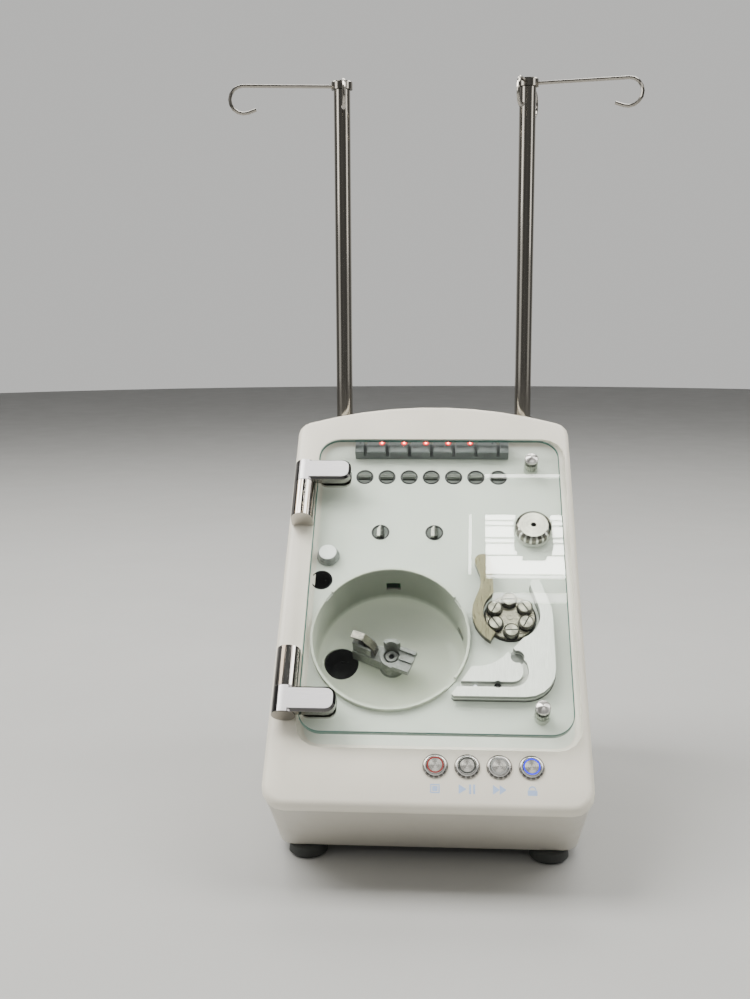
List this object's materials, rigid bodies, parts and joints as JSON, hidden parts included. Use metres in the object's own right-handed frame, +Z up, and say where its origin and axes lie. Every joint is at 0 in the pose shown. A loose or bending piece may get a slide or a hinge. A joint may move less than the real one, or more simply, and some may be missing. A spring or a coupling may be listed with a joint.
{
  "type": "benchtop cell processor with peristaltic pump",
  "caption": "Sloping benchtop processor: peristaltic pump, centrifuge chamber, pinch valves under a hinged glass door, push-buttons and hooked bag poles.",
  "frame": {"origin": "centre of the footprint box, on the bench", "axes": "+Z up, -Y is the front that the sloping face looks towards, +X is the object's right as seen from the front"},
  "size_m": [0.4216, 0.3866, 0.7239],
  "materials": {
    "arm_clip": "bright spring steel",
    "bag_pole_left": "polished stainless",
    "bag_pole_right": "polished stainless",
    "base_plate": "plain sheet",
    "button_1": "radial brushed cap",
    "button_2": "radial brushed cap",
    "button_3": "radial brushed cap",
    "button_4": "radial brushed cap",
    "centrifuge_motor": "motor body",
    "chamber_bowl": "pale grey moulding",
    "chamber_cup": "black moulding",
    "control_board": "circuit board",
    "deck_plate": "pale grey-green satin paint",
    "door_catch_lower": "deck paint",
    "door_catch_upper": "deck paint",
    "door_stud_lower": "polished, faceted cap",
    "door_stud_upper": "polished, faceted cap",
    "face_housing": "warm white satin paint",
    "foot_front_left": "moulded rubber",
    "foot_front_right": "moulded rubber",
    "foot_rear_left": "moulded rubber",
    "foot_rear_right": "moulded rubber",
    "glass_door": "clear float glass with green edges",
    "hinge_clamp_lower": "polished barrel, brushed top",
    "hinge_clamp_upper": "polished barrel, brushed top",
    "hinge_knuckle_lower": "polished",
    "hinge_knuckle_upper": "polished",
    "hinge_leaf_lower": "polished barrel, brushed top",
    "hinge_leaf_upper": "polished barrel, brushed top",
    "hook_head_left": "polished stainless",
    "hook_head_right": "polished stainless",
    "locating_stud": "silver moulding with a white top",
    "loop_plunger_1": "dark satin",
    "loop_plunger_2": "dark satin",
    "pinch_plunger_1": "dark satin",
    "pinch_plunger_2": "dark satin",
    "pinch_plunger_3": "dark satin",
    "pinch_plunger_4": "dark satin",
    "pinch_plunger_5": "dark satin",
    "pinch_plunger_6": "dark satin",
    "pinch_plunger_7": "dark satin",
    "power_inlet": "black moulding",
    "power_supply": "enclosed supply, stands in for sheet steel and boards",
    "power_switch": "black rocker",
    "pressure_sensor": "polished with a turned top",
    "pump_motor": "motor body",
    "pump_roller_1": "turned, slotted head",
    "pump_roller_2": "turned, slotted head",
    "pump_roller_3": "turned, slotted head",
    "pump_roller_4": "turned, slotted head",
    "pump_roller_5": "turned, slotted head",
    "pump_roller_6": "turned, slotted head",
    "pump_rotor": "polished",
    "pump_shoe": "long brushed grain",
    "pump_track": "fine machined satin",
    "rear_cover": "warm white satin paint",
    "rotor_arm": "cast, bead blasted",
    "sensor_block": "dark grey, fine texture",
    "tube_port": "black moulding",
    "valve_block": "dark satin"
  },
  "bodies": {
    "housing": {"bag_pole_left": "bag_pole_left", "bag_pole_right": "bag_pole_right", "base_plate": "base_plate", "centrifuge_motor": "centrifuge_motor", "chamber_bowl": "chamber_bowl", "chamber_cup": "chamber_cup", "control_board": "control_board", "deck_plate": "deck_plate", "door_catch_lower": "door_catch_lower", "door_catch_upper": "door_catch_upper", "face_housing": "face_housing", "foot_front_left": "foot_front_left", "foot_front_right": "foot_front_right", "foot_rear_left": "foot_rear_left", "foot_rear_right": "foot_rear_right", "hinge_knuckle_lower": "hinge_knuckle_lower", "hinge_knuckle_upper": "hinge_knuckle_upper", "locating_stud": "locating_stud", "power_inlet": "power_inlet", "power_supply": "power_supply", "pressure_sensor": "pressure_sensor", "pump_motor": "pump_motor", "pump_track": "pump_track", "rear_cover": "rear_cover", "sensor_block": "sensor_block", "tube_port": "tube_port", "valve_block": "valve_block"},
    "door": {"glass_door": "glass_door", "hinge_leaf_upper": "hinge_leaf_upper", "hinge_leaf_lower": "hinge_leaf_lower", "hinge_clamp_upper": "hinge_clamp_upper", "hinge_clamp_lower": "hinge_clamp_lower", "door_stud_upper": "door_stud_upper", "door_stud_lower": "door_stud_lower"},
    "arm": {"rotor_arm": "rotor_arm"},
    "clip": {"arm_clip": "arm_clip"},
    "rotor": {"pump_rotor": "pump_rotor"},
    "shoe": {"pump_shoe": "pump_shoe"},
    "head_left": {"hook_head_left": "hook_head_left"},
    "head_right": {"hook_head_right": "hook_head_right"},
    "switch": {"power_switch": "power_switch"},
    "roller_1": {"pump_roller_1": "pump_roller_1"},
    "roller_2": {"pump_roller_2": "pump_roller_2"},
    "roller_3": {"pump_roller_3": "pump_roller_3"},
    "roller_4": {"pump_roller_4": "pump_roller_4"},
    "roller_5": {"pump_roller_5": "pump_roller_5"},
    "roller_6": {"pump_roller_6": "pump_roller_6"},
    "pinch_1": {"pinch_plunger_1": "pinch_plunger_1"},
    "pinch_2": {"pinch_plunger_2": "pinch_plunger_2"},
    "pinch_3": {"pinch_plunger_3": "pinch_plunger_3"},
    "pinch_4": {"pinch_plunger_4": "pinch_plunger_4"},
    "pinch_5": {"pinch_plunger_5": "pinch_plunger_5"},
    "pinch_6": {"pinch_plunger_6": "pinch_plunger_6"},
    "pinch_7": {"pinch_plunger_7": "pinch_plunger_7"},
    "loop_1": {"loop_plunger_1": "loop_plunger_1"},
    "loop_2": {"loop_plunger_2": "loop_plunger_2"},
    "push_1": {"button_1": "button_1"},
    "push_2": {"button_2": "button_2"},
    "push_3": {"button_3": "button_3"},
    "push_4": {"button_4": "button_4"}
  },
  "joints": [
    {"name": "door_hinge", "type": "hinge", "parent": "housing", "child": "door", "pos_m": [-0.12476, -0.1922, 0.102], "axis": [0, -0.7071, -0.7071], "range_deg": [0, 110]},
    {"name": "arm_spin", "type": "hinge", "parent": "housing", "child": "arm", "pos_m": [-0.03486, -0.07454, 0.19166], "axis": [0, -0.7071, 0.7071], "continuous": true},
    {"name": "clip_hinge", "type": "hinge", "parent": "arm", "child": "clip", "pos_m": [-0.05773, -0.04464, 0.17418], "axis": [0.3584, 0.6601, 0.6601], "range_deg": [-12, 0]},
    {"name": "rotor_spin", "type": "hinge", "parent": "housing", "child": "rotor", "pos_m": [0.07574, -0.05912, 0.20708], "axis": [0, -0.7071, 0.7071], "continuous": true},
    {"name": "roller_1_spin", "type": "hinge", "parent": "rotor", "child": "roller_1", "pos_m": [0.07504, -0.04768, 0.21852], "axis": [0, -0.7071, 0.7071], "continuous": true},
    {"name": "roller_2_spin", "type": "hinge", "parent": "rotor", "child": "roller_2", "pos_m": [0.0894, -0.05297, 0.21323], "axis": [0, -0.7071, 0.7071], "continuous": true},
    {"name": "roller_3_spin", "type": "hinge", "parent": "rotor", "child": "roller_3", "pos_m": [0.09011, -0.06441, 0.20179], "axis": [0, -0.7071, 0.7071], "continuous": true},
    {"name": "roller_4_spin", "type": "hinge", "parent": "rotor", "child": "roller_4", "pos_m": [0.07645, -0.07057, 0.19563], "axis": [0, -0.7071, 0.7071], "continuous": true},
    {"name": "roller_5_spin", "type": "hinge", "parent": "rotor", "child": "roller_5", "pos_m": [0.06208, -0.06528, 0.20092], "axis": [0, -0.7071, 0.7071], "continuous": true},
    {"name": "roller_6_spin", "type": "hinge", "parent": "rotor", "child": "roller_6", "pos_m": [0.06137, -0.05384, 0.21237], "axis": [0, -0.7071, 0.7071], "continuous": true},
    {"name": "shoe_swing", "type": "hinge", "parent": "housing", "child": "shoe", "pos_m": [0.05104, -0.01981, 0.24639], "axis": [0, 0.7071, -0.7071], "range_deg": [0, 25]},
    {"name": "pinch_1_slide", "type": "slide", "parent": "housing", "child": "pinch_1", "axis": [0, -0.7071, 0.7071], "range_m": [-0.003, 0], "stiffness_N_per_m": 250, "springref_m": 0.004},
    {"name": "pinch_2_slide", "type": "slide", "parent": "housing", "child": "pinch_2", "axis": [0, -0.7071, 0.7071], "range_m": [-0.003, 0], "stiffness_N_per_m": 250, "springref_m": 0.004},
    {"name": "pinch_3_slide", "type": "slide", "parent": "housing", "child": "pinch_3", "axis": [0, -0.7071, 0.7071], "range_m": [-0.003, 0], "stiffness_N_per_m": 250, "springref_m": 0.004},
    {"name": "pinch_4_slide", "type": "slide", "parent": "housing", "child": "pinch_4", "axis": [0, -0.7071, 0.7071], "range_m": [-0.003, 0], "stiffness_N_per_m": 250, "springref_m": 0.004},
    {"name": "pinch_5_slide", "type": "slide", "parent": "housing", "child": "pinch_5", "axis": [0, -0.7071, 0.7071], "range_m": [-0.003, 0], "stiffness_N_per_m": 250, "springref_m": 0.004},
    {"name": "pinch_6_slide", "type": "slide", "parent": "housing", "child": "pinch_6", "axis": [0, -0.7071, 0.7071], "range_m": [-0.003, 0], "stiffness_N_per_m": 250, "springref_m": 0.004},
    {"name": "pinch_7_slide", "type": "slide", "parent": "housing", "child": "pinch_7", "axis": [0, -0.7071, 0.7071], "range_m": [-0.003, 0], "stiffness_N_per_m": 250, "springref_m": 0.004},
    {"name": "loop_1_slide", "type": "slide", "parent": "housing", "child": "loop_1", "axis": [0, -0.7071, 0.7071], "range_m": [-0.003, 0], "stiffness_N_per_m": 250, "springref_m": 0.004},
    {"name": "loop_2_slide", "type": "slide", "parent": "housing", "child": "loop_2", "axis": [0, -0.7071, 0.7071], "range_m": [-0.003, 0], "stiffness_N_per_m": 250, "springref_m": 0.004},
    {"name": "push_1_slide", "type": "slide", "parent": "housing", "child": "push_1", "axis": [0, -0.7071, 0.7071], "range_m": [-0.0015, 0], "stiffness_N_per_m": 800, "springref_m": 0.003},
    {"name": "push_2_slide", "type": "slide", "parent": "housing", "child": "push_2", "axis": [0, -0.7071, 0.7071], "range_m": [-0.0015, 0], "stiffness_N_per_m": 800, "springref_m": 0.003},
    {"name": "push_3_slide", "type": "slide", "parent": "housing", "child": "push_3", "axis": [0, -0.7071, 0.7071], "range_m": [-0.0015, 0], "stiffness_N_per_m": 800, "springref_m": 0.003},
    {"name": "push_4_slide", "type": "slide", "parent": "housing", "child": "push_4", "axis": [0, -0.7071, 0.7071], "range_m": [-0.0015, 0], "stiffness_N_per_m": 800, "springref_m": 0.003},
    {"name": "head_left_turn", "type": "hinge", "parent": "housing", "child": "head_left", "pos_m": [-0.09436, 0.1398, 0.7189], "axis": [0, 0, 1], "continuous": true},
    {"name": "head_right_turn", "type": "hinge", "parent": "housing", "child": "head_right", "pos_m": [0.09684, 0.1398, 0.7189], "axis": [0, 0, 1], "continuous": true},
    {"name": "switch_rock", "type": "hinge", "parent": "housing", "child": "switch", "pos_m": [-0.02376, 0.1678, 0.06], "axis": [1, 0, 0], "range_deg": [0, 18]}
  ]
}
